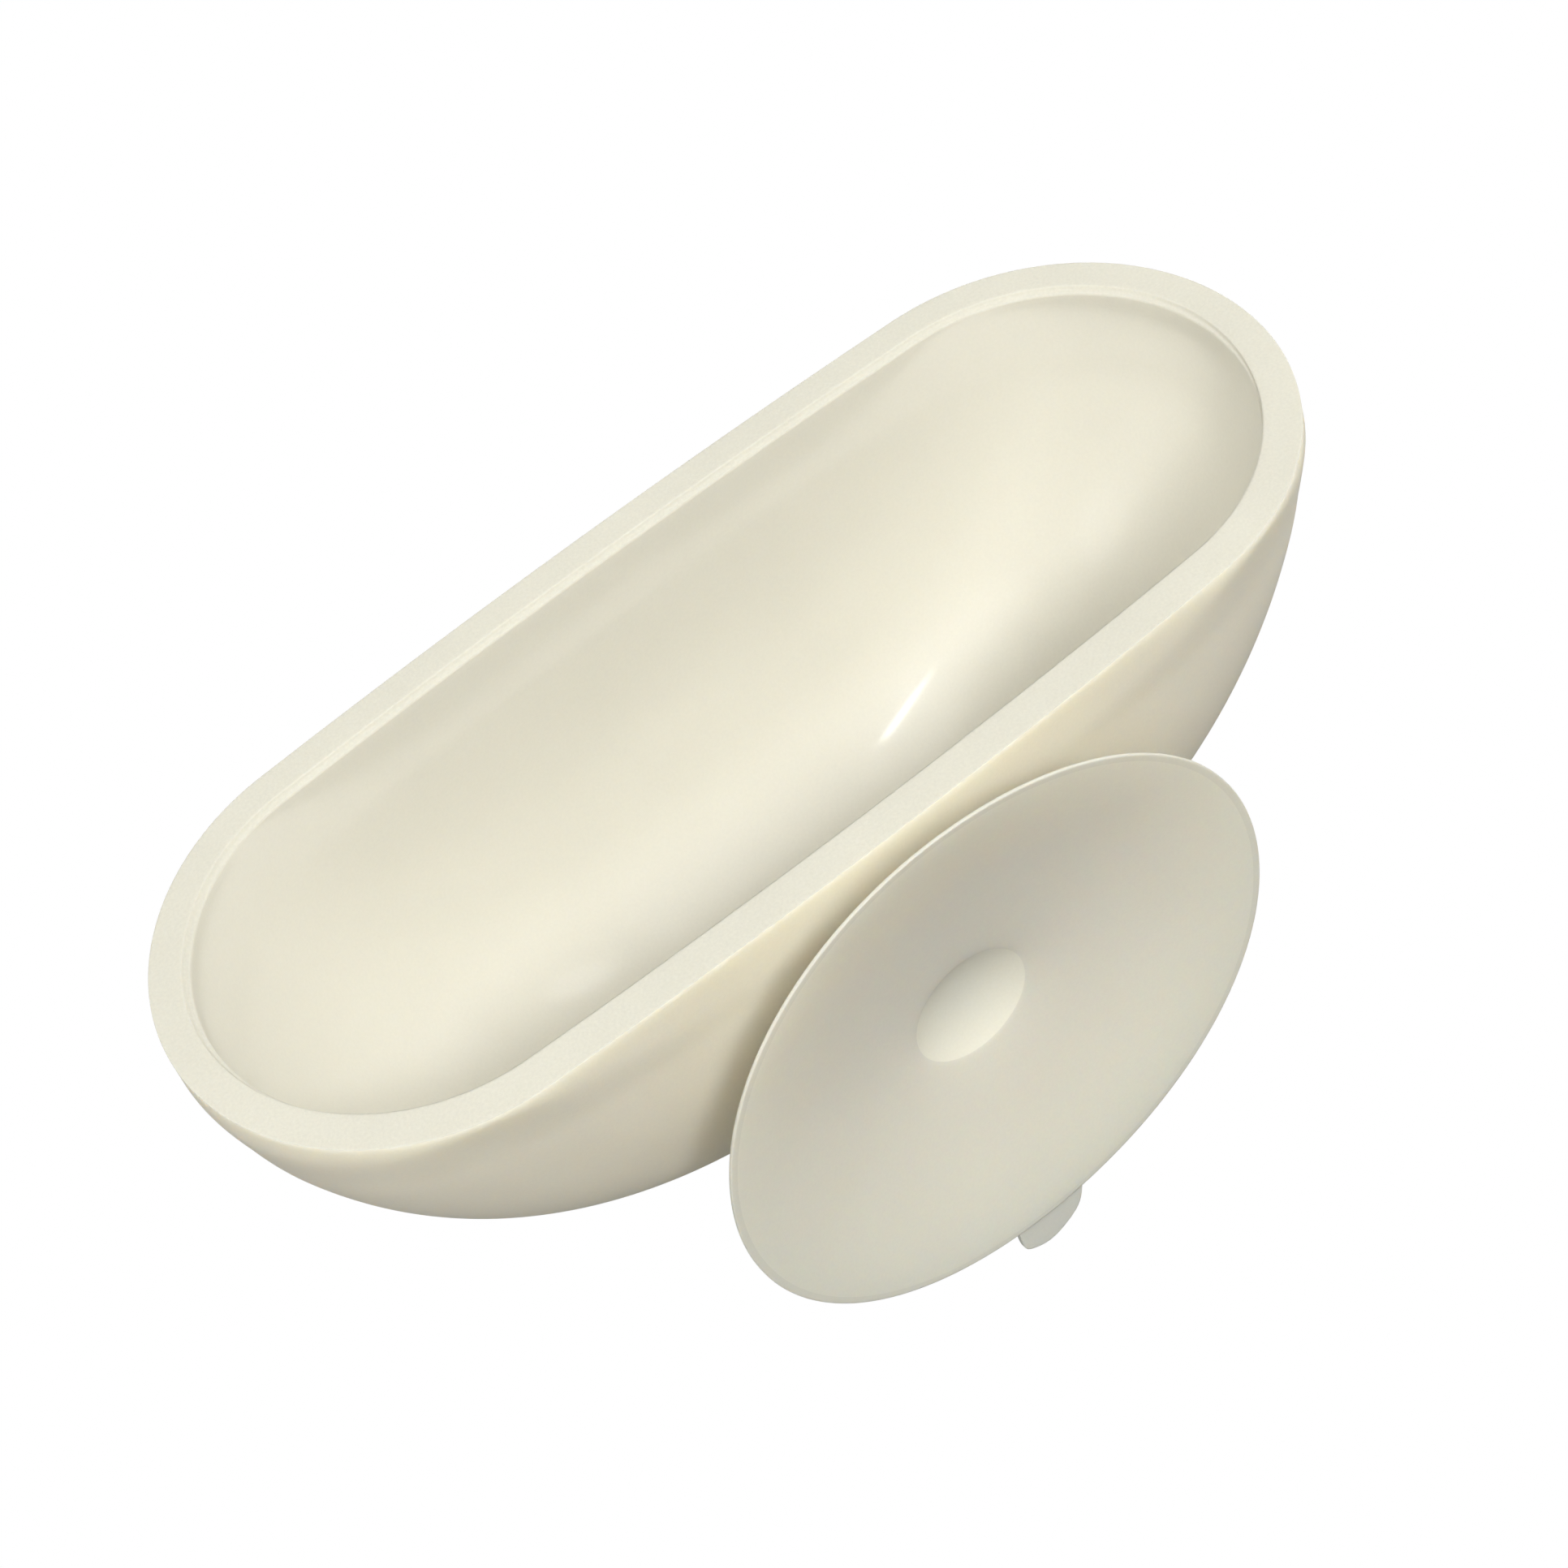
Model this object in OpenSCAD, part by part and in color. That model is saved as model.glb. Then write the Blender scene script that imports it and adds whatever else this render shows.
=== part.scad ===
// Wall-held trough bowl on a soft suction cup.
// Origin: centre of the suction cup's lip circle, on the wall plane.
// +X along the bowl, +Y away from the wall, +Z up. Millimetres.

/* [Bowl] */
// Length over the rim
bowl_len = 160; // [154:1:166]
// Width over the rim at mid length
bowl_w = 66.4; // [65.2:0.2:67.6]
// Radius of the round rim ends seen from above
rim_end_r = 32; // [30:0.5:32.5]
// Depth from the rim to the underside
bowl_depth = 58.2; // [57:0.2:60]
// Wall thickness
wall = 5; // [4:0.25:6]
// Radius of the round bottom across the bowl
bottom_r = 29.4; // [28.8:0.2:30]
// Half width across the bowed walls where they are widest
wall_half_w = 33.9; // [33.6:0.1:34.4]
// Depth of that widest line below the rim
wall_wide_z = 4; // [2:0.5:6]
// Height of the end curves' centres above the rim
end_arc_rise = 6.6; // [5:0.2:8]
// Overrun of the end curves past the rim outline
end_overrun = 0.65; // [0.25:0.05:1.25]
// Width of the narrow ledge inside the rim
ledge_w = 0.7; // [0.5:0.1:1.5]
// Drop of that ledge below the rim
ledge_drop = 0.5; // [0.2:0.1:1]

/* [Placing] */
// Height of the rim above the cup's axis
rim_z = 33.5; // [30:0.5:36]
// Distance from the wall to the bowl's middle plane
bowl_y = 41.6; // [41:0.1:43]

/* [Suction cup] */
// Lip diameter
cup_d = 80; // [76:1:84]
// Depth of the cup at the dimple's edge
cup_depth = 6; // [5.5:0.1:6.2]
// Rise of the cup's curve above a straight cone
cup_bulge = 0.1; // [0:0.1:0.8]
// Thickness of the lip
lip_t = 0.7; // [0.5:0.1:1]
// Thickness of the cup beside the neck
cup_root_t = 1.6; // [1.2:0.1:1.7]
// Radius of the central dimple
dimple_r = 8.5; // [8:0.25:9.5]
// Depth of the dimple below its edge
dimple_depth = 1.8; // [1:0.1:1.8]
// Radius of the neck behind the cup
neck_r = 10; // [9.5:0.25:11]

/* [Seat and stud] */
// Distance from the wall to the bowl's flat seat
seat_y = 10.5; // [10.4:0.1:10.8]
// Radius of the flat seat on the bowl
seat_r = 12; // [11.5:0.25:13]
// Gap between the neck and the seat
seat_gap = 0.1; // [0.05:0.05:0.2]
// Radius of the stud's shank
shank_r = 4.45; // [4:0.05:5]
// Radial running clearance of the shank in the bowl
shank_play = 0.05; // [0.03:0.01:0.1]
// Radius of the stud's head in the bowl
head_r = 6.5; // [6:0.1:7]
// Thickness of the stud's head in the bowl
head_t = 2; // [1.6:0.1:2.1]
// Thickness of the bowl's ring in front of the head
seat_ring_t = 1.5; // [1.2:0.1:1.8]
// Radius of the stud's flange in the neck
flange_r = 6.5; // [6:0.1:7]
// Thickness of the stud's flange
flange_t = 1; // [0.8:0.1:1.1]

/* [Pull tab] */
// Width of the tab where it leaves the lip
tab_w = 11; // [8:0.2:12]
// Width of the tab at its free end
tab_tip_w = 9.8; // [6:0.2:10]
// Distance from the cup's axis to the tab's end
tab_reach = 46; // [43:0.1:48]
// How far the tab stands to one side of the cup's centre line
tab_off = -0.6; // [-1:0.1:1]
// Thickness of the tab
tab_t = 1.2; // [1:0.1:1.6]

/* [Hidden] */

// Side view of the bowl: a straight keel with a large quarter arc each end.
half_len = bowl_len / 2;
end_arc_r = bowl_depth + end_arc_rise;
keel_half = round(100 * (half_len + end_overrun - sqrt(pow(end_arc_r, 2) - pow(end_arc_rise, 2)))) / 100;

// Section across the bowl: a round bottom and bowed walls tangent to it.
wide_q = bowl_depth - wall_wide_z;
wall_arc_r = (pow(wide_q - bottom_r, 2) / (wall_half_w - bottom_r) + wall_half_w + bottom_r) / 2;
lean_a = asin((wide_q - bottom_r) / (wall_arc_r - bottom_r));

// Rim outline: two end circles joined by long, slightly bowed sides.
rim_cx = half_len - rim_end_r;
side_r = (pow(rim_cx, 2) + pow(bowl_w / 2, 2) - pow(rim_end_r, 2)) / (bowl_w - 2 * rim_end_r);
side_cy = side_r - bowl_w / 2;
side_a = atan2(side_cy, rim_cx);

// Stations along the cup's axis.
neck_y = seat_y - seat_gap;
dimple_y = cup_depth + dimple_depth;
dimple_ball_r = (pow(dimple_r, 2) + pow(dimple_depth, 2)) / (2 * dimple_depth);
ring_y = seat_y + seat_ring_t;
pocket_y = ring_y + head_t + 0.2;
flange_y = neck_y - 1 - flange_t;
lip_r = cup_d / 2;
tab_axis = [tab_off, lip_t + 0.4 + tab_t / 2, -(lip_r - 0.9)];

// Section across the bowl in (distance below the end arcs' axis, y), set
// in by t. The walls cross the round bottom a hair inside their common tangent.
module section(t) {
    ct = bottom_r - (bottom_r - t) * sin(lean_a);
    translate([end_arc_r - bottom_r, 0]) circle(r = bottom_r - t, $fn = 144);
    intersection() {
        wall_disc(1, t);
        wall_disc(-1, t);
        translate([0, -bowl_w]) square([end_arc_r - ct, 2 * bowl_w]);
    }
}
module wall_disc(m, t) {
    translate([end_arc_r - wide_q, -m * (wall_arc_r - wall_half_w)])
        circle(r = wall_arc_r - t - 0.02, $fn = 360);
}

// The swept trough, walls set in by t, rim plane at z = 0. The straight
// run and the two quarter turns share one section where they meet.
module trough(t) {
    translate([0, 0, end_arc_rise]) {
        translate([-keel_half, 0, 0]) rotate([0, 90, 0])
            linear_extrude(2 * keel_half) section(t);
        for (m = [0, 1]) mirror([m, 0, 0])
            translate([keel_half, 0, 0]) rotate([90, 0, 0]) rotate([0, 0, -90])
                rotate_extrude(angle = 90, $fn = 200) section(t);
    }
}

// A prism on the rim outline set in by t, from z0 to z1. The bowed sides
// cross the end circles a hair inside their common tangent.
module rim_prism(t, z0, z1) {
    re = rim_end_r - t;
    rs = side_r - t - 0.02;
    xj = rim_cx + re * cos(side_a);
    translate([0, 0, z0]) {
        intersection() {
            translate([0, -side_cy, 0]) cylinder(r = rs, h = z1 - z0, $fn = 1440);
            translate([0, side_cy, 0]) cylinder(r = rs, h = z1 - z0, $fn = 1440);
            translate([-xj, -bowl_w, -1]) cube([2 * xj, 2 * bowl_w, z1 - z0 + 2]);
        }
        for (m = [-1, 1]) translate([m * rim_cx, 0, 0]) cylinder(r = re, h = z1 - z0, $fn = 180);
    }
}

// A cylinder along Y from y0 to y1.
module ycyl(r, y0, y1) {
    translate([0, y0, 0]) rotate([-90, 0, 0]) cylinder(r = r, h = y1 - y0, $fn = 96);
}

module bowl() {
    color([0.91, 0.89, 0.80]) difference() {
        union() {
            translate([0, bowl_y, rim_z]) intersection() {
                trough(0);
                rim_prism(0, -bowl_depth - 1, 0);
            }
            // flat round seat for the cup's neck
            ycyl(seat_r, seat_y, seat_y + 8);
        }
        translate([0, bowl_y, rim_z]) intersection() {
            trough(wall);
            rim_prism(wall, -bowl_depth, 1);
        }
        // narrow ledge just inside the rim
        translate([0, bowl_y, rim_z]) intersection() {
            trough(wall - ledge_w);
            rim_prism(wall - ledge_w, -ledge_drop, 1);
        }
        // clearance around the neck, bore for the shank, undercut for the head
        ycyl(seat_r + 0.5, seat_y - 6, seat_y);
        ycyl(shank_r + shank_play, seat_y - 1, ring_y + 0.1);
        ycyl(head_r + 0.15, ring_y, pocket_y);
    }
}

// Cup profile in (radius, depth from the lip): hollow face out to the back.
function face(u) = [dimple_r + (lip_r - 0.6 - dimple_r) * u,
                    cup_depth * (1 - u) + cup_bulge * 4 * u * (1 - u)];
function back(u) = [neck_r + (lip_r - neck_r) * u,
                    (cup_depth + cup_root_t) * (1 - u) + lip_t * u + cup_bulge * 4 * u * (1 - u)];

module suction_cup() {
    color([0.85, 0.84, 0.78]) rotate([-90, 0, 0]) difference() {
        rotate_extrude($fn = 180) polygon(concat(
            [[0, cup_depth]],
            [for (i = [0 : 12]) face(i / 12)],
            [[lip_r, 0], [lip_r, lip_t]],
            [for (i = [11 : -1 : 0]) back(i / 12)],
            [[neck_r, neck_y], [0, neck_y]]));
        // shallow dimple in the middle of the hollow face
        translate([0, 0, dimple_y - dimple_ball_r]) sphere(r = dimple_ball_r, $fn = 120);
        // seat of the stud's flange and shank
        translate([0, 0, flange_y]) cylinder(r = flange_r, h = flange_t, $fn = 96);
        translate([0, 0, flange_y]) cylinder(r = shank_r, h = neck_y - flange_y + 1, $fn = 96);
    }
}

module anchor_stud() {
    color([0.88, 0.87, 0.82]) rotate([-90, 0, 0]) rotate_extrude($fn = 96) polygon([
        [0, flange_y], [flange_r, flange_y], [flange_r, flange_y + flange_t],
        [shank_r, flange_y + flange_t], [shank_r, ring_y + 0.05], [head_r, ring_y + 0.05],
        [head_r, ring_y + 0.7], [head_r - 1.2, ring_y + head_t], [0, ring_y + head_t]]);
}

module pull_tab() {
    reach = tab_reach + tab_axis[2];
    rc = 1.6;
    translate(tab_axis) color([0.78, 0.78, 0.73]) {
        // tongue with a bowed end, flat on its two faces
        difference() {
            rotate([90, 0, 0]) translate([0, 0, -tab_t / 2]) linear_extrude(tab_t) difference() {
                polygon([[-tab_w / 2, 0], [tab_w / 2, 0], [tab_tip_w / 2, -reach], [-tab_tip_w / 2, -reach]]);
                difference() {
                    translate([-tab_w, -2 * reach]) square([2 * tab_w, 2 * reach - rc]);
                    translate([0, tab_w - reach]) circle(r = tab_w, $fn = 160);
                }
            }
            translate([-tab_w, 0, 0]) rotate([0, 90, 0]) cylinder(r = tab_t / 2, h = 2 * tab_w, $fn = 48);
        }
        // round root that bends where it leaves the cup
        translate([-tab_w / 2, 0, 0]) rotate([0, 90, 0]) cylinder(r = tab_t / 2, h = tab_w, $fn = 48);
    }
}

bowl();
suction_cup();
anchor_stud();
pull_tab();
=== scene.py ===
import math

import bpy
import numpy as np
from mathutils import Matrix, Vector


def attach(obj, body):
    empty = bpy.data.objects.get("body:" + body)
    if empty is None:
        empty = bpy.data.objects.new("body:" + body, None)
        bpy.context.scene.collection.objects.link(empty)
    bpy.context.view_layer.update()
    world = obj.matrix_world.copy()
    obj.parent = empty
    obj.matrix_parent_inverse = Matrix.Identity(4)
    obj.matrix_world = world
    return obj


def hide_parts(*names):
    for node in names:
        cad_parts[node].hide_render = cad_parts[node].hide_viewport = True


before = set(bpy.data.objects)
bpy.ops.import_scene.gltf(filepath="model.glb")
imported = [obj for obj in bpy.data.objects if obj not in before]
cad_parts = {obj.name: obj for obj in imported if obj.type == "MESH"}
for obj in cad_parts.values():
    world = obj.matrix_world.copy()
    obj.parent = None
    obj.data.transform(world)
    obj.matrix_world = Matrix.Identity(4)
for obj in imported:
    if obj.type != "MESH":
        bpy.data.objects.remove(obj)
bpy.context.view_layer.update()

MM = 0.001

# ---------------------------------------------------------------- sizes, mm
# The same dimensions as the CAD model: rim centre at (0, BOWL_Y, RIM_Z).
HALF_LEN, HALF_W, END_R = 80.0, 33.2, 32.0
DEPTH, RISE, OVER = 58.2, 6.6, 0.65
BOTTOM_R, WALL_W, WALL_Z = 29.4, 33.9, 4.0
WALL = 5.0
BOWL_Y, RIM_Z = 41.6, 33.5
SEAT_Y, SEAT_R = 10.5, 12.0
LIP_R, CUP_DEPTH, BULGE = 40.0, 6.0, 0.5
LIP_T, ROOT_T, NECK_R = 0.5, 1.6, 10.0
DIMPLE_R, DIMPLE_D = 8.5, 2.0

RIM_CX = HALF_LEN - END_R
SIDE_R = (RIM_CX ** 2 + HALF_W ** 2 - END_R ** 2) / (2 * (HALF_W - END_R))
SIDE_CY = SIDE_R - HALF_W
SIDE_A = math.atan2(SIDE_CY, RIM_CX)
ARC_R = DEPTH + RISE
KEEL = HALF_LEN + OVER - math.sqrt(ARC_R ** 2 - RISE ** 2)
WIDE_Q = DEPTH - WALL_Z
WALL_R = ((WIDE_Q - BOTTOM_R) ** 2 / (WALL_W - BOTTOM_R) + WALL_W + BOTTOM_R) / 2
LEAN = math.asin((WIDE_Q - BOTTOM_R) / (WALL_R - BOTTOM_R))


# ------------------------------------------------------------- bowl surface
def outline(n):
    """n points on the rim outline, evenly spaced, with outward normals."""
    la, lb = 2 * SIDE_A * END_R, (math.pi - 2 * SIDE_A) * SIDE_R
    pts, nrm = np.zeros((n, 2)), np.zeros((n, 2))
    for i in range(n):
        v, sg = i / n * 2 * (la + lb), 1.0
        if v >= la + lb:
            v, sg = v - la - lb, -1.0
        if v < la:
            a, c, r = -SIDE_A + v / END_R, (RIM_CX, 0.0), END_R
        else:
            a, c, r = SIDE_A + (v - la) / SIDE_R, (0.0, -SIDE_CY), SIDE_R
        d = np.array([math.cos(a), math.sin(a)])
        pts[i], nrm[i] = sg * (np.array(c) + r * d), sg * d
    return pts, nrm


def field(p):
    """Distance outside the bowl's outer surface, rim centre as origin."""
    x, y, z = np.abs(p[..., 0]), np.abs(p[..., 1]), p[..., 2]
    q = ARC_R - np.hypot(np.maximum(x - KEEL, 0), np.minimum(z - RISE, 0))
    ang = np.arctan2(BOTTOM_R - q, y)
    sweep = np.where(ang > LEAN, np.hypot(y, BOTTOM_R - q) - BOTTOM_R,
                     np.hypot(y + (WALL_R - WALL_W), WIDE_Q - q) - WALL_R)
    side = np.hypot(x, y + SIDE_CY) - SIDE_R
    end = np.hypot(x - RIM_CX, y) - END_R
    prism = np.where((x > RIM_CX) & (np.arctan2(y, x - RIM_CX) < SIDE_A), end, side)
    sweep = sweep - 2.0 * np.exp(z / 6.0)     # the walls swell a little to reach the outline at the rim
    k = 3.0 * np.clip(-z / 10.0, 0, 1) + 1e-6
    h = np.maximum(k - np.abs(sweep - prism), 0) / k
    return np.maximum(sweep, prism) + h * h * k / 4


def inside_wall(z):
    """Wall thickness at a height below the rim: thinner half way, thicker at the bottom."""
    return WALL - 0.45 * smooth(8.0, 36.0, -z) + 1.0 * smooth(35.0, 53.2, -z)


def shell(out, v, inset):
    """Rings of the surface set in by inset(z); v runs from 0, rim, to 1, bottom."""
    s, c = np.cos(v * np.pi / 2) ** 0.8, np.sin(v * np.pi / 2)
    t = np.zeros((len(v), len(out), 3))
    t[..., 0] = out[None, :, 0] * s[:, None]
    t[..., 1] = out[None, :, 1] * s[:, None]
    t[..., 2] = -DEPTH * c[:, None]
    start = np.zeros_like(t)
    start[..., 0] = out[None, :, 0] * 0.45 * s[:, None]
    start[..., 2] = t[..., 2] * 0.35
    d = t - start
    a, b = np.zeros(t.shape[:2]), np.full(t.shape[:2], 1.8)
    for _ in range(44):
        m = (a + b) / 2
        p = start + d * m[..., None]
        f = field(p) + inset(p[..., 2])
        a, b = np.where(f < 0, m, a), np.where(f < 0, b, m)
    return start + d * a[..., None]


def smooth(e0, e1, x):
    t = np.clip((x - e0) / (e1 - e0), 0, 1)
    return t * t * (3 - 2 * t)


def mesh_object(name, rings, closed=True, pole_first=None, pole_last=None, slots=(), slot_of=None):
    """A skin over rings of points (each n by 3, mm); poles close the ends."""
    n = len(rings[0])
    verts = [tuple(p * MM) for ring in rings for p in ring]
    faces, mats = [], []
    for i in range(len(rings) - 1):
        for j in range(n if closed else n - 1):
            k = (j + 1) % n
            faces.append((i * n + j, i * n + k, (i + 1) * n + k, (i + 1) * n + j))
            mats.append(slot_of(i) if slot_of else 0)
    if pole_first is not None:
        verts.append(tuple(np.asarray(pole_first) * MM))
        for j in range(n):
            faces.append((len(verts) - 1, (j + 1) % n, j))
            mats.append(slot_of(0) if slot_of else 0)
    if pole_last is not None:
        verts.append(tuple(np.asarray(pole_last) * MM))
        o = (len(rings) - 1) * n
        for j in range(n):
            faces.append((len(verts) - 1, o + j, o + (j + 1) % n))
            mats.append(slot_of(len(rings) - 2) if slot_of else 0)
    me = bpy.data.meshes.new(name)
    me.from_pydata(verts, [], faces)
    for m in slots:
        me.materials.append(m)
    me.polygons.foreach_set("material_index", mats)
    me.polygons.foreach_set("use_smooth", [True] * len(faces))
    me.update()
    ob = bpy.data.objects.new(name, me)
    bpy.context.scene.collection.objects.link(ob)
    return ob


# ---------------------------------------------------------------- materials
def srgb(r, g, b):
    f = lambda c: (c / 255 / 12.92) if c / 255 <= 0.04045 else ((c / 255 + 0.055) / 1.055) ** 2.4
    return (f(r), f(g), f(b), 1.0)


def elastomer(name, base, rough, sss=0.12, grain=0.25, bump=0.08, mottle=0.02, coat=0.0,
              specks=0.0, wave=0.0, coat_rough=0.09, scale=0.0025, reach=(1.0, 0.72, 0.42)):
    """Moulded ivory elastomer: faint colour mottling, fine grain, soft sheen."""
    m = bpy.data.materials.new(name)
    m.use_nodes = True
    nt = m.node_tree
    nt.nodes.clear()
    out = nt.nodes.new("ShaderNodeOutputMaterial")
    bs = nt.nodes.new("ShaderNodeBsdfPrincipled")
    nt.links.new(bs.outputs[0], out.inputs[0])
    tc = nt.nodes.new("ShaderNodeTexCoord")

    def noise(scale, detail=3.0, roughness=0.55):
        n = nt.nodes.new("ShaderNodeTexNoise")
        n.inputs["Scale"].default_value = scale
        n.inputs["Detail"].default_value = detail
        n.inputs["Roughness"].default_value = roughness
        nt.links.new(tc.outputs["Object"], n.inputs["Vector"])
        return n.outputs["Fac"]

    def ramp(src, a, b, lo_, hi_):
        n = nt.nodes.new("ShaderNodeMapRange")
        n.inputs["From Min"].default_value = a
        n.inputs["From Max"].default_value = b
        n.inputs["To Min"].default_value = lo_
        n.inputs["To Max"].default_value = hi_
        nt.links.new(src, n.inputs["Value"])
        return n.outputs["Result"]

    def math_node(op, a, b):
        n = nt.nodes.new("ShaderNodeMath")
        n.operation = op
        for i, v in enumerate((a, b)):
            if isinstance(v, (int, float)):
                n.inputs[i].default_value = v
            else:
                nt.links.new(v, n.inputs[i])
        return n.outputs[0]

    # brightness varies on two scales: broad clouds and fine grain
    broad = ramp(noise(38.0, 3.0), 0.3, 0.7, 1 - mottle, 1 + mottle * 0.6)
    fine = ramp(noise(2600.0, 2.0), 0.3, 0.7, 1 - mottle * 0.8, 1 + mottle * 0.6)
    value = math_node("MULTIPLY", broad, fine)
    if specks:
        vo = nt.nodes.new("ShaderNodeTexVoronoi")
        vo.inputs["Scale"].default_value = 60.0
        nt.links.new(tc.outputs["Object"], vo.inputs["Vector"])
        dot = ramp(vo.outputs["Distance"], 0.010, 0.022, 1.0, 0.0)
        sep = nt.nodes.new("ShaderNodeSeparateColor")
        nt.links.new(vo.outputs["Color"], sep.inputs[0])
        rare = math_node("GREATER_THAN", sep.outputs[0], 1 - specks)
        value = math_node("MULTIPLY", value, math_node("SUBTRACT", 1.0, math_node("MULTIPLY", math_node("MULTIPLY", dot, rare), 0.35)))
    mix = nt.nodes.new("ShaderNodeMix")
    mix.data_type = "RGBA"
    mix.blend_type = "MULTIPLY"
    mix.inputs["Factor"].default_value = 1.0
    mix.inputs["A"].default_value = base
    comb = nt.nodes.new("ShaderNodeCombineColor")
    for i in range(3):
        nt.links.new(value, comb.inputs[i])
    nt.links.new(comb.outputs[0], mix.inputs["B"])
    nt.links.new(mix.outputs["Result"], bs.inputs["Base Color"])
    # roughness clouds, and the polish that handling leaves
    r = ramp(noise(90.0, 4.0), 0.3, 0.7, rough - 0.04, rough + 0.04)
    nt.links.new(r, bs.inputs["Roughness"])
    bs.inputs["IOR"].default_value = 1.42
    bs.inputs["Subsurface Weight"].default_value = sss
    bs.inputs["Subsurface Radius"].default_value = reach
    bs.inputs["Subsurface Scale"].default_value = scale
    if coat:
        bs.inputs["Coat Weight"].default_value = coat
        bs.inputs["Coat Roughness"].default_value = coat_rough
        bs.inputs["Coat IOR"].default_value = 1.5
    b1 = nt.nodes.new("ShaderNodeBump")
    b1.inputs["Strength"].default_value = bump
    b1.inputs["Distance"].default_value = 0.0001
    nt.links.new(noise(1000.0 / grain, 2.0, 0.6), b1.inputs["Height"])
    if wave:
        b2 = nt.nodes.new("ShaderNodeBump")
        b2.inputs["Strength"].default_value = wave
        b2.inputs["Distance"].default_value = 0.0006
        nt.links.new(noise(45.0, 1.0), b2.inputs["Height"])
        nt.links.new(b2.outputs[0], b1.inputs["Normal"])
    nt.links.new(b1.outputs[0], bs.inputs["Normal"])
    return m


# one moulded bowl in three colours: the outside colour is lighter than the inside's, as painted light on walls that
# face down and away from the lamps, and the rim colour is darker, as painted shade on the top that faces up into them
INSIDE_C = (0.687, 0.665, 0.574, 1.0)
OUTSIDE_PAINTED_LIGHT_C = (0.756, 0.722, 0.597, 1.0)
RIM_PAINTED_SHADE_C = (0.633, 0.614, 0.519, 1.0)
CUP_C = (0.704, 0.678, 0.574, 1.0)
# painted shade: the tab's colour is darker than the cup's, standing for the shadow the lip casts on it and for its
# downward tilt
TAB_PAINTED_SHADE_C = (0.638, 0.638, 0.565, 1.0)
CENTRE_C = (0.776, 0.750, 0.627, 1.0)
# painted shade: the lip's colour is darker than the cup face's, to dull the bright line that light draws along its
# edge
LIP_PAINTED_SHADE_C = (0.655, 0.632, 0.538, 1.0)
# bowl_outside carries the lightened colour (painted light) and bowl_rim the darkened one (painted shade)
mat_out = elastomer("bowl_outside", OUTSIDE_PAINTED_LIGHT_C, 0.58, sss=0.95, bump=0.10, wave=0.05, scale=0.0052,
                    reach=(1.0, 0.90, 0.72))
mat_in = elastomer("bowl_inside", INSIDE_C, 0.42, bump=0.05, coat=0.12, coat_rough=0.12, specks=0.06, wave=0.03)
mat_rim = elastomer("bowl_rim", RIM_PAINTED_SHADE_C, 0.66, grain=0.45, bump=0.40, mottle=0.045)
mat_cup = elastomer("cup_soft", CUP_C, 0.46, sss=0.6, bump=0.05, specks=0.04, wave=0.08)
mat_lip = elastomer("cup_lip", LIP_PAINTED_SHADE_C, 0.6, sss=0.3, bump=0.05)
mat_centre = elastomer("cup_centre", CENTRE_C, 0.50, sss=0.12, bump=0.08)
mat_tab = elastomer("tab_soft", TAB_PAINTED_SHADE_C, 0.5, sss=0.18, bump=0.08)
mat_stud = elastomer("stud_moulded", OUTSIDE_PAINTED_LIGHT_C, 0.42, sss=0.04, bump=0.05)

# --------------------------------------------------------------------- bowl
NPHI = 560
OUT, NRM = outline(NPHI)
OFFSET = np.array([0.0, BOWL_Y, RIM_Z])


def rim_ring(inset, z):
    """A ring at a given inset (a number or one per point) and height."""
    ring = np.zeros((NPHI, 3))
    ring[:, :2] = OUT - NRM * np.broadcast_to(inset, (NPHI,))[:, None]
    ring[:, 2] = z
    return ring


def seat_recess(ring):
    """Sinks the outside where the seat ring stands, so that nothing crosses it."""
    r = ring.copy()
    x, z = r[:, 0], r[:, 2] + RIM_Z
    y = r[:, 1] + BOWL_Y
    rad = np.hypot(x, z)
    near = r[:, 1] < 0
    level = np.where(rad < 7.3, 14.35, 11.2)
    sink = near & (rad < SEAT_R + 0.6) & (y < level)
    r[sink, 1] = level[sink] - BOWL_Y
    return r


# how far round towards the far side and the +X end a point is: the ledge
# inside the rim is crisp there and fades out along the near side
far = smooth(-0.9, 0.4, NRM[:, 1])
land = 4.25 + (1 - far) * 0.62            # width of the rim's flat top
rb = 0.07                                 # edge radius outside
v_out = 1 - (1 - np.linspace(0.008, 0.992, 110)) ** 1.0
outer = [seat_recess(r) for r in shell(OUT, v_out[::-1], lambda z: 0.0)]
bevel = [rim_ring(rb * (1 - math.cos(a)), -rb * (1 - math.sin(a)))
         for a in np.radians([0, 20, 45, 70, 90])]
top = [rim_ring(0.42, 0), rim_ring(1.2, 0), rim_ring(2.3, 0), rim_ring(3.4, 0),
       rim_ring(land - 0.45, 0), rim_ring(land - 0.28, -0.01)]
wide = 0.02 + 0.18 * far                  # half the width of the eased step
step = [rim_ring(land + wide * a, z) for a, z in ((-0.9, -0.03), (-0.55, -0.09), (-0.2, -0.19), (0.1, -0.29),
                                                  (0.4, -0.37), (0.75, -0.44), (1.2, -0.49))]
step += [rim_ring(np.maximum(land + 1.3 * wide, land + (4.86 - land) * 0.8), -0.54),
         rim_ring(np.maximum(land + 0.08, 4.88), -0.60), rim_ring(4.97, -0.72), rim_ring(5.0, -0.90)]
v_in = np.linspace(0.020, 0.990, 110)
inner = list(shell(OUT, v_in, inside_wall))
rings = [r + OFFSET for r in outer + bevel + top + step + inner]
n_outer, n_rim = len(outer), len(outer) + len(bevel) + len(top) + len(step) - 2


def bowl_slot(i):
    if i < n_outer:
        return 0
    return 1 if i < n_rim else 2


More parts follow.
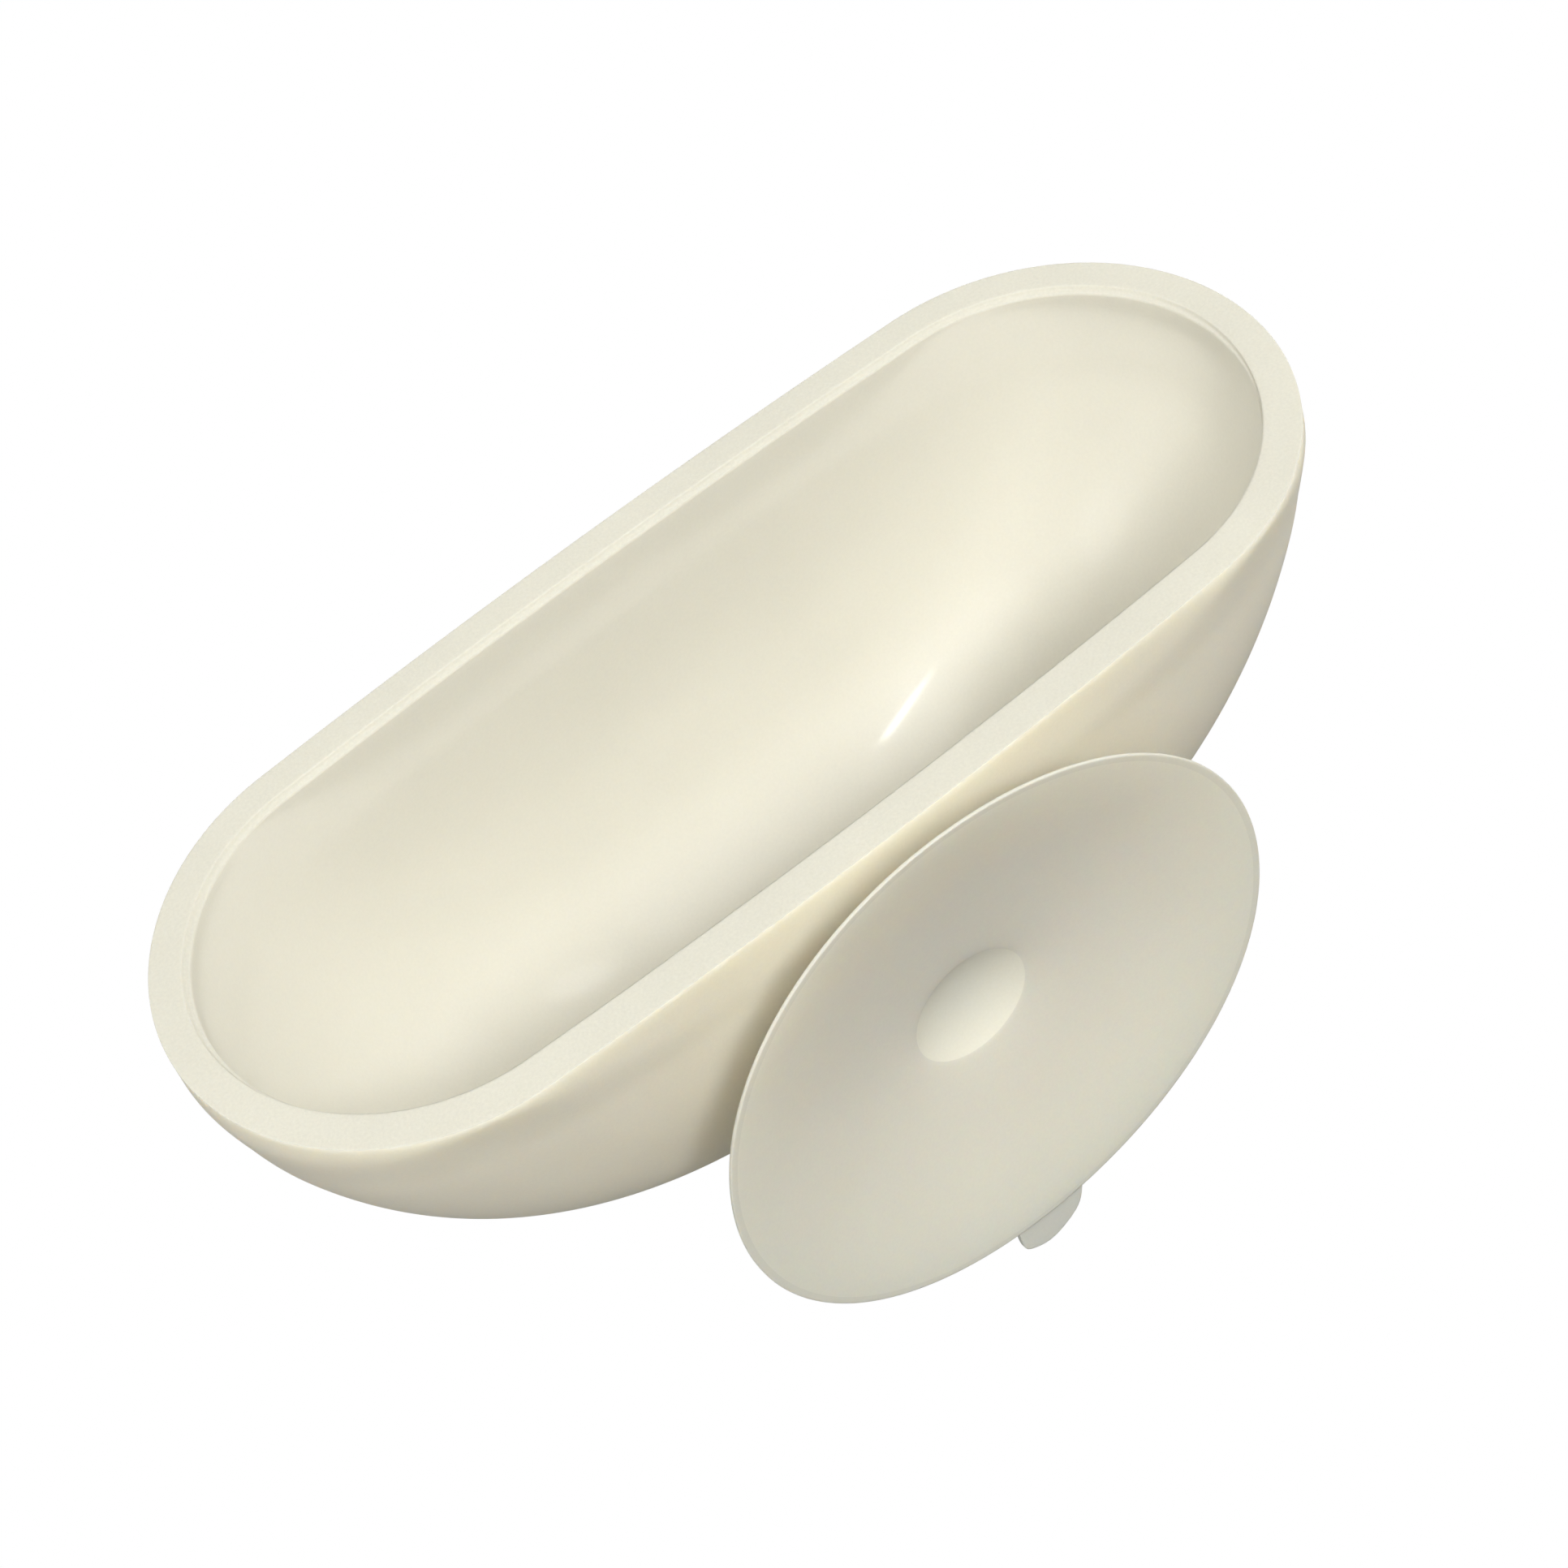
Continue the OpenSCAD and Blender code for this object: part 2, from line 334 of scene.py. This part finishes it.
bowl = mesh_object("bowl_shell", rings, slots=(mat_out, mat_rim, mat_in), slot_of=bowl_slot,
                   pole_first=OFFSET + np.array([0, 0, -DEPTH]),
                   pole_last=OFFSET + np.array([0, 0, -(DEPTH - float(inside_wall(-53.2)))]))
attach(bowl, "trough")


def lathe(name, prof, n=192, slots=(), slot_of=None, warp=None, poles=(None, None)):
    """Turns (radius, y) pairs round the cup's axis. warp moves each ring."""
    t = np.arange(n) / n * 2 * math.pi
    rings_ = []
    for r, y in prof:
        p = np.stack([r * np.cos(t), np.full(n, y), r * np.sin(t)], 1)
        rings_.append(warp(p, t, r, y) if warp else p)
    ob = mesh_object(name, rings_, slots=slots, slot_of=slot_of,
                     pole_first=poles[0], pole_last=poles[1])
    return ob


# seat ring on the bowl, with the shank's bore and the head's pocket
DEEP = 99.0                               # marks a ring that ends just under the bowl's surface
seat_prof = [(0.01, 14.2), (6.5, 14.2), (6.65, 14.05), (6.65, 12.0), (4.6, 12.0), (4.5, 11.9), (4.5, 10.62),
             (4.62, 10.5), (8.0, 10.5), (SEAT_R - 0.35, 10.5), (SEAT_R - 0.1, 10.56), (SEAT_R, 10.75), (SEAT_R, 11.15),
             (SEAT_R, DEEP), (7.15, DEEP), (0.01, 14.45)]


def seat_warp(p, t, r, y):
    if y != DEEP:
        return p
    q = p - OFFSET
    a, b = np.full(len(q), 5.0 - BOWL_Y), np.full(len(q), 30.0 - BOWL_Y)
    for _ in range(40):
        q[:, 1] = (a + b) / 2
        f = field(q)
        a, b = np.where(f > 0, q[:, 1], a), np.where(f > 0, b, q[:, 1])
    q[:, 1] = np.maximum(a + 0.5, (11.2 if r > 8 else 14.45) - BOWL_Y)
    return q + OFFSET


seat = lathe("bowl_seat", seat_prof, slots=(mat_out,), warp=seat_warp, poles=((0, 14.2, 0), (0, 14.45, 0)))
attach(seat, "trough")
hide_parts("bowl")
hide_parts("bowl")

# ---------------------------------------------------------------------- cup
LAND_IN = LIP_R - 0.4


# slope of the hollow face at each radius: a straight run that flattens at the lip
SLOPE = ((8.5, 0.27), (10.0, 0.225), (12.0, 0.192), (16.0, 0.176), (20.0, 0.192), (24.0, 0.213),
         (28.0, 0.221), (32.0, 0.218), (35.0, 0.195), (37.0, 0.160), (LAND_IN, 0.080))
FACE_R = np.linspace(DIMPLE_R, LAND_IN, 400)
_sl = np.interp(FACE_R, [a for a, b in SLOPE], [b for a, b in SLOPE])
_run = np.concatenate([[0], np.cumsum((_sl[1:] + _sl[:-1]) / 2 * np.diff(FACE_R))])
FACE_Y = CUP_DEPTH * (1 - _run / _run[-1])


def face(r):
    return float(np.interp(r, FACE_R, FACE_Y))


def back(r):
    u = (r - NECK_R) / (LIP_R - NECK_R)
    return face(r) + ROOT_T * (1 - u) + LIP_T * u


BALL = (DIMPLE_R ** 2 + DIMPLE_D ** 2) / (2 * DIMPLE_D)
cup_prof = []
for i in range(1, 31):                                    # dimple, from its middle
    r = 8.15 * i / 30
    cup_prof.append((r, CUP_DEPTH + DIMPLE_D - BALL + math.sqrt(BALL ** 2 - r ** 2)))
n_dimple = len(cup_prof)
# small rounded shoulder from the dimple into the hollow face
p0, p1, p2 = cup_prof[-1], (DIMPLE_R, CUP_DEPTH - 0.01), (9.1, face(9.1))
for i in range(1, 9):
    s = i / 8
    cup_prof.append(tuple((1 - s) ** 2 * a + 2 * s * (1 - s) * b + s * s * c for a, b, c in zip(p0, p1, p2)))
for i in range(1, 71):
    r = 9.1 + (39.0 - 9.1) * i / 70
    cup_prof.append((r, face(r)))
n_face = len(cup_prof)
cup_prof += [(LAND_IN - 0.06, 0.01), (LAND_IN + 0.08, 0.0), (LIP_R - 0.14, 0.0), (LIP_R - 0.05, 0.03),
             (LIP_R, 0.12), (LIP_R, LIP_T - 0.15), (LIP_R - 0.07, LIP_T - 0.04), (LIP_R - 0.22, LIP_T + 0.02)]
n_lip = len(cup_prof)
for i in range(60, 2, -1):
    r = 10.9 + (39.4 - 10.9) * i / 60
    cup_prof.append((r, back(r)))
b0 = cup_prof[-1]
cup_prof += [(b0[0] - 0.55, b0[1] + 0.35), (NECK_R + 0.12, b0[1] + 0.95), (NECK_R, 9.25), (NECK_R, 10.15),
             (NECK_R - 0.08, 10.32), (NECK_R - 0.28, 10.4), (7.5, 10.4), (4.6, 10.4), (4.5, 10.3), (4.46, 9.42),
             (6.51, 9.40), (6.51, 8.38), (3.0, 8.38), (0.01, 8.38)]

# the free lip isn't quite flat or round
LIP_WAVE = ((1, -0.17, -0.31), (2, -0.09, -0.05), (3, 0.10, 0.16))
LIP_OVAL = ((2, 0.26, 0.19), (3, 0.24, -0.08))


def cup_warp(p, t, r, y):
    w = max(0.0, (r - 12.0) / (LIP_R - 12.0)) ** 2
    dy = sum(a * np.cos(k * t) + b * np.sin(k * t) for k, a, b in LIP_WAVE)
    dr = sum(a * np.cos(k * t) + b * np.sin(k * t) for k, a, b in LIP_OVAL) - 0.27
    q = p.copy()
    q[:, 1] += w * dy
    q[:, 0] += w * dr * np.cos(t)
    q[:, 2] += w * (dr * np.sin(t) - 0.17)
    return q


cup = lathe("cup_disc", cup_prof, n=360, slots=(mat_cup, mat_lip, mat_centre),
            slot_of=lambda i: 2 if i < n_dimple else (1 if n_face - 1 <= i < n_lip else 0), warp=cup_warp,
            poles=((0, CUP_DEPTH + DIMPLE_D, 0), (0, 8.38, 0)))
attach(cup, "cup")
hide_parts("suction_cup")

# ---------------------------------------------------------------------- tab
TAB_Y, TAB_Z, TAB_T = 1.7, -39.1, 1.2
TAB_REACH = 46.0
# outline in (x, z): a square corner on -X, a round one on +X and a bowed end
TAB_LINE = ((-6.10, -39.1), (-6.05, -40.5), (-5.98, -42.0), (-5.90, -43.4), (-5.82, -43.95), (-5.62, -44.35),
            (-5.25, -44.68), (-4.6, -45.08), (-3.8, -45.50), (-3.0, -45.78), (-2.3, -45.90), (-1.6, -45.90),
            (-0.9, -45.78), (-0.2, -45.56), (0.5, -45.28), (1.1, -44.98), (1.8, -44.60), (2.35, -44.22),
            (2.85, -43.80), (3.25, -43.36), (3.62, -42.80), (3.92, -42.20), (4.18, -41.50), (4.45, -40.5),
            (4.85, -39.1))


def build_tab():
    line = np.array(TAB_LINE)
    # resample evenly, so that the inset rings stay clean
    seg = np.concatenate([[0], np.cumsum(np.linalg.norm(np.diff(line, axis=0), axis=1))])
    u = np.linspace(0, seg[-1], 72)
    side = np.stack([np.interp(u, seg, line[:, 0]), np.interp(u, seg, line[:, 1])], 1)
    for _ in range(3):
        side[1:-1] = (side[:-2] + 2 * side[1:-1] + side[2:]) / 4
    root = np.stack([np.linspace(4.85, -6.10, 42)[1:-1], np.full(40, TAB_Z)], 1)
    outl = np.concatenate([side, root])
    cen, h = np.array([-0.7, -41.9]), TAB_T / 2
    rings_ = []
    for inset, y in ((0.62, -h), (0.45, -h), (0.28, -h), (0.12, -h + 0.04), (0.03, -h + 0.14), (0, -h + 0.28),
                     (0, h - 0.28), (0.03, h - 0.14), (0.12, h - 0.04), (0.28, h), (0.45, h), (0.62, h)):
        v = outl - cen
        q = cen + v * (1 - inset / np.linalg.norm(v, axis=1)[:, None])
        rings_.append(np.stack([q[:, 0], np.full(len(q), TAB_Y + y), q[:, 1]], 1))
    tongue = mesh_object("tab_tongue", rings_, slots=(mat_tab,),
                         pole_first=(cen[0], TAB_Y - h, cen[1]), pole_last=(cen[0], TAB_Y + h, cen[1]))
    # round root, the same at every angle of the hinge
    t = np.arange(40) / 40 * 2 * math.pi
    roll = []
    for x, r in ((-6.10, 0.30), (-6.04, 0.50), (-5.9, 0.64), (-5.7, 0.70), (-3, 0.72), (-0.6, 0.72), (2, 0.72),
                 (4.4, 0.70), (4.6, 0.64), (4.76, 0.50), (4.83, 0.30)):
        roll.append(np.stack([np.full(40, x), TAB_Y + r * np.cos(t), TAB_Z + r * np.sin(t)], 1))
    ro = mesh_object("tab_root", roll, slots=(mat_tab,), pole_first=(-6.12, TAB_Y, TAB_Z), pole_last=(4.85, TAB_Y, TAB_Z))
    return tongue, ro


tab, tab_root = build_tab()
for ob in (tab, tab_root):
    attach(ob, "tab")
    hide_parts("pull_tab")

# --------------------------------------------------------------------- stud
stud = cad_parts["anchor_stud"]
stud.data.materials.clear()
stud.data.materials.append(mat_stud)

for ob in (bowl, seat, cup, tab, tab_root):
    import bmesh
    bm = bmesh.new()
    bm.from_mesh(ob.data)
    bmesh.ops.recalc_face_normals(bm, faces=bm.faces)
    bm.to_mesh(ob.data)
    bm.free()

# ------------------------------------------------------------------- camera
cam_data = bpy.data.cameras.new("camera")
cam_data.sensor_width = 36.0
cam_data.lens = 84.83
cam_data.clip_start, cam_data.clip_end = 0.01, 50.0
cam = bpy.data.objects.new("camera", cam_data)
bpy.context.scene.collection.objects.link(cam)
right = Vector((0.77642343, -0.5866095, -0.23033876))
down = Vector((-0.58466046, -0.53403919, -0.61071621))
ahead = Vector((0.23524201, 0.60884434, -0.75760792))
rot = Matrix((right, -down, -ahead)).transposed()
cam.matrix_world = Matrix.Translation(Vector((-0.10613328, -0.23630230, 0.35710474))) @ rot.to_4x4()
bpy.context.scene.camera = cam

# ------------------------------------------------------------------- lights
CENTRE = Vector((0.0, 0.035, 0.0))


def soft_light(name, az, el, power, wide, high=None, dist=1.8, glossy=True):
    """A soft panel aimed at the object. az 0 is in front of the cup, 90 at +X."""
    a, e = math.radians(az), math.radians(el)
    d = Vector((math.sin(a) * math.cos(e), -math.cos(a) * math.cos(e), math.sin(e)))
    li = bpy.data.lights.new(name, "AREA")
    if high:
        li.shape, li.size, li.size_y = "RECTANGLE", wide, high
    else:
        li.shape, li.size = "DISK", wide
    li.energy = power
    ob = bpy.data.objects.new(name, li)
    ob.location = CENTRE + d * dist
    x = Vector((math.cos(a), math.sin(a), 0.0))
    ob.matrix_world = Matrix.Translation(CENTRE + d * dist) @ Matrix((x, d.cross(x), d)).transposed().to_4x4()
    ob.visible_glossy = glossy
    bpy.context.scene.collection.objects.link(ob)
    return ob


for spec in (("key", 0, 48, 16.4, 0.44),
             ("overhead", 0, 65, 9.15, 0.9),
             ("front_left", -30, 42, 5.0, 0.9),
             ("front_right", 50, 50, 6.1, 0.44),
             ("side_left", -80, 20, 10.9, 0.9),
             ("side_right", 80, 20, 6.9, 0.9),
             ("low_right", 110, 6, 8.5, 0.9),
             ("rear_left", -140, 42, 8.7, 0.9),
             ("rear_right", 140, 42, 2.2, 0.9)):
    soft_light(*spec, glossy=spec[0] != "key")
# a slim lamp whose mirror image is the streak in the bowl
lamp = soft_light("lamp", -1.2, 48.0, 17.0, 0.50, 0.08)
lamp.matrix_world = lamp.matrix_world @ Matrix.Rotation(math.radians(38), 4, "Z")
lamp.visible_diffuse = False

world = bpy.data.worlds.new("studio")
bpy.context.scene.world = world
world.use_nodes = True
wn = world.node_tree
bg = wn.nodes["Background"]
bg.inputs["Color"].default_value = (1, 1, 1, 1)
bg.inputs["Strength"].default_value = 0.04
seen = wn.nodes.new("ShaderNodeBackground")               # plain white backdrop
seen.inputs["Color"].default_value = (1, 1, 1, 1)
pick = wn.nodes.new("ShaderNodeMixShader")
wlp = wn.nodes.new("ShaderNodeLightPath")
wn.links.new(wlp.outputs["Is Camera Ray"], pick.inputs[0])
wn.links.new(bg.outputs[0], pick.inputs[1])
wn.links.new(seen.outputs[0], pick.inputs[2])
wn.links.new(pick.outputs[0], wn.nodes["World Output"].inputs["Surface"])

# -------------------------------------------------------------------- floor
bpy.ops.mesh.primitive_plane_add(size=12.0, location=(0, 0, -(HALF_LEN + 3.0) * MM))   # below the bowl when it hangs end down
floor = bpy.context.object
floor.name = "floor"
fm = bpy.data.materials.new("pale_floor")
fm.use_nodes = True
ft = fm.node_tree
ft.nodes.clear()
fo = ft.nodes.new("ShaderNodeOutputMaterial")
fd = ft.nodes.new("ShaderNodeBsdfDiffuse")
fd.inputs["Color"].default_value = (0.22, 0.22, 0.215, 1)
fe = ft.nodes.new("ShaderNodeEmission")
fe.inputs["Color"].default_value = (1, 1, 1, 1)
fe.inputs["Strength"].default_value = 1.0
fx = ft.nodes.new("ShaderNodeMixShader")
lp = ft.nodes.new("ShaderNodeLightPath")
ft.links.new(lp.outputs["Is Camera Ray"], fx.inputs[0])
ft.links.new(fd.outputs[0], fx.inputs[1])
ft.links.new(fe.outputs[0], fx.inputs[2])
ft.links.new(fx.outputs[0], fo.inputs[0])
floor.data.materials.append(fm)

sc = bpy.context.scene
sc.view_settings.view_transform = "Standard"
sc.view_settings.look = "None"
sc.view_settings.exposure = 0.0
sc.view_settings.gamma = 1.0
